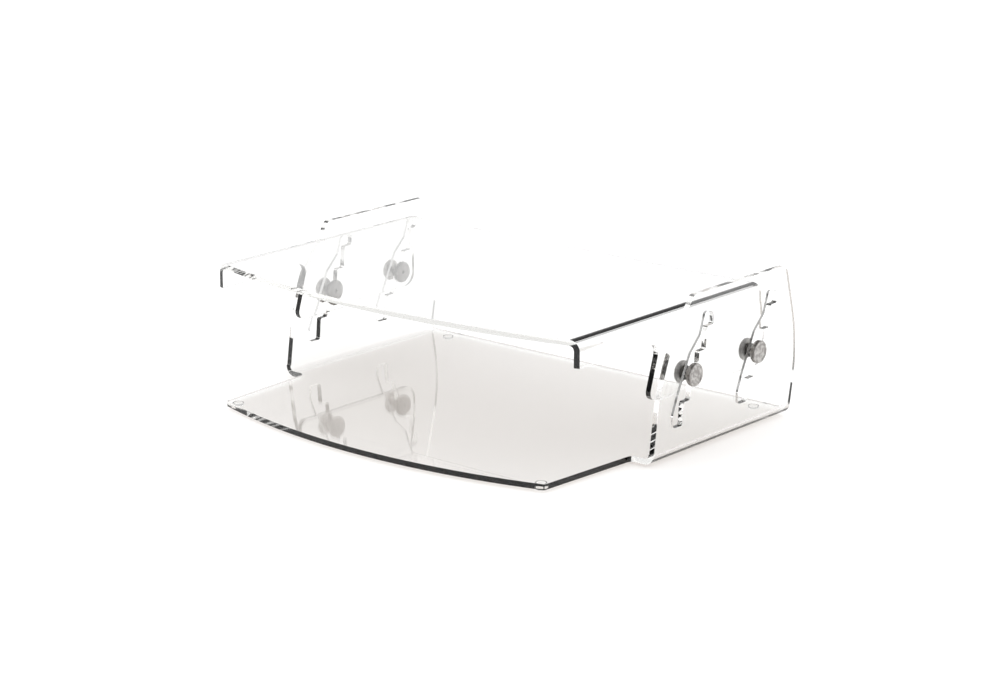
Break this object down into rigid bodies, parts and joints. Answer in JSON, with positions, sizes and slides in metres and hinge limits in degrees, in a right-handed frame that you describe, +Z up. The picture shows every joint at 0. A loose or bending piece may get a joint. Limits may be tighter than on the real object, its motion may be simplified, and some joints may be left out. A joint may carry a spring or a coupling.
{
  "type": "adjustable two-tier desk stand",
  "caption": "Clear bent-sheet desk stand: a low tray whose two upright sides have notched slots, and a height-adjustable shelf held in them by thumb nuts.",
  "frame": {"origin": "under the middle of the stand, on the surface that the feet stand on", "axes": "+X to the right as seen from the open front, +Y to the back, +Z up"},
  "size_m": [0.417, 0.3245, 0.1333],
  "materials": {
    "clear_acrylic": "clear, flame-polished edges",
    "bright_metal": "satin turned, knurled rim",
    "clear_washer": "clear",
    "clear_bumper": "clear soft bumper"
  },
  "bodies": {
    "base": {"base_tray": "clear_acrylic", "left_front_foot": "clear_bumper", "left_rear_foot": "clear_bumper", "right_front_foot": "clear_bumper", "right_rear_foot": "clear_bumper"},
    "shelf": {"upper_shelf": "clear_acrylic", "left_front_bolt": "bright_metal", "left_front_spacer": "clear_washer", "left_front_washer": "clear_washer", "left_rear_bolt": "bright_metal", "left_rear_spacer": "clear_washer", "left_rear_washer": "clear_washer", "right_front_bolt": "bright_metal", "right_front_spacer": "clear_washer", "right_front_washer": "clear_washer", "right_rear_bolt": "bright_metal", "right_rear_spacer": "clear_washer", "right_rear_washer": "clear_washer"},
    "left_front_knob": {"left_front_knob": "bright_metal"},
    "left_rear_knob": {"left_rear_knob": "bright_metal"},
    "right_front_knob": {"right_front_knob": "bright_metal"},
    "right_rear_knob": {"right_rear_knob": "bright_metal"}
  },
  "joints": [
    {"name": "shelf_height", "type": "slide", "parent": "base", "child": "shelf", "axis": [0, 0.4657, 0.8849], "range_m": [-0.04294, 0.04294]},
    {"name": "left_front_knob_turn", "type": "hinge", "parent": "shelf", "child": "left_front_knob", "pos_m": [-0.206, 0.01525, 0.0685], "axis": [-1, 0, 0], "range_deg": [0, 720]},
    {"name": "left_rear_knob_turn", "type": "hinge", "parent": "shelf", "child": "left_rear_knob", "pos_m": [-0.206, 0.10385, 0.0685], "axis": [-1, 0, 0], "range_deg": [0, 720]},
    {"name": "right_front_knob_turn", "type": "hinge", "parent": "shelf", "child": "right_front_knob", "pos_m": [0.206, 0.01525, 0.0685], "axis": [1, 0, 0], "range_deg": [0, 720]},
    {"name": "right_rear_knob_turn", "type": "hinge", "parent": "shelf", "child": "right_rear_knob", "pos_m": [0.206, 0.10385, 0.0685], "axis": [1, 0, 0], "range_deg": [0, 720]}
  ]
}
